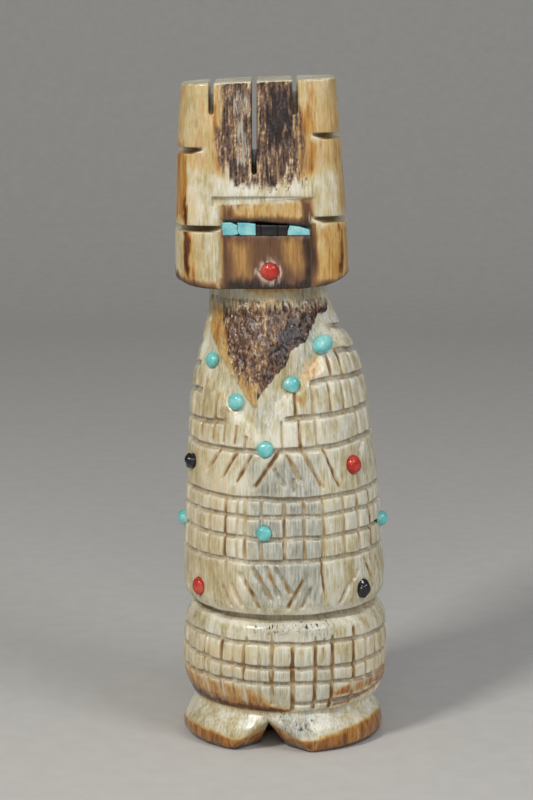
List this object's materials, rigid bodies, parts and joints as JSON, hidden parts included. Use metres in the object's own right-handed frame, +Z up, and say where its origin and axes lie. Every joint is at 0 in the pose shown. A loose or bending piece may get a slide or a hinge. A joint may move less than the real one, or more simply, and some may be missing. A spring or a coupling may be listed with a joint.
{
  "type": "fetish carving",
  "caption": "Small standing maiden carved from antler with a slotted head-board, scored robe and skirt, and inlaid stones; stands on its own feet.",
  "frame": {"origin": "on the floor, under the middle of the bounding box", "axes": "+Z up the figure, which faces -Y; +X is the viewer's right"},
  "size_m": [0.0255, 0.0221, 0.08],
  "materials": {
    "antler": "polished antler: cream, with open brown pith and golden-brown bark at the edges",
    "turquoise": "polished turquoise",
    "coral": "polished red coral",
    "jet": "polished jet"
  },
  "bodies": {
    "root": {"carving": "antler", "turquoise_collar_left": "turquoise", "turquoise_shoulder_right": "turquoise", "turquoise_yoke_left": "turquoise", "turquoise_yoke_right": "turquoise", "turquoise_chest": "turquoise", "turquoise_belly": "turquoise", "turquoise_side_left": "turquoise", "turquoise_side_right": "turquoise", "coral_chest_right": "coral", "coral_hip_left": "coral", "coral_mouth": "coral", "jet_side_left": "jet", "jet_hip_right": "jet", "eye_turquoise_outer_left": "turquoise", "eye_turquoise_inner_left": "turquoise", "eye_jet": "jet", "eye_turquoise_right": "turquoise"}
  },
  "joints": []
}
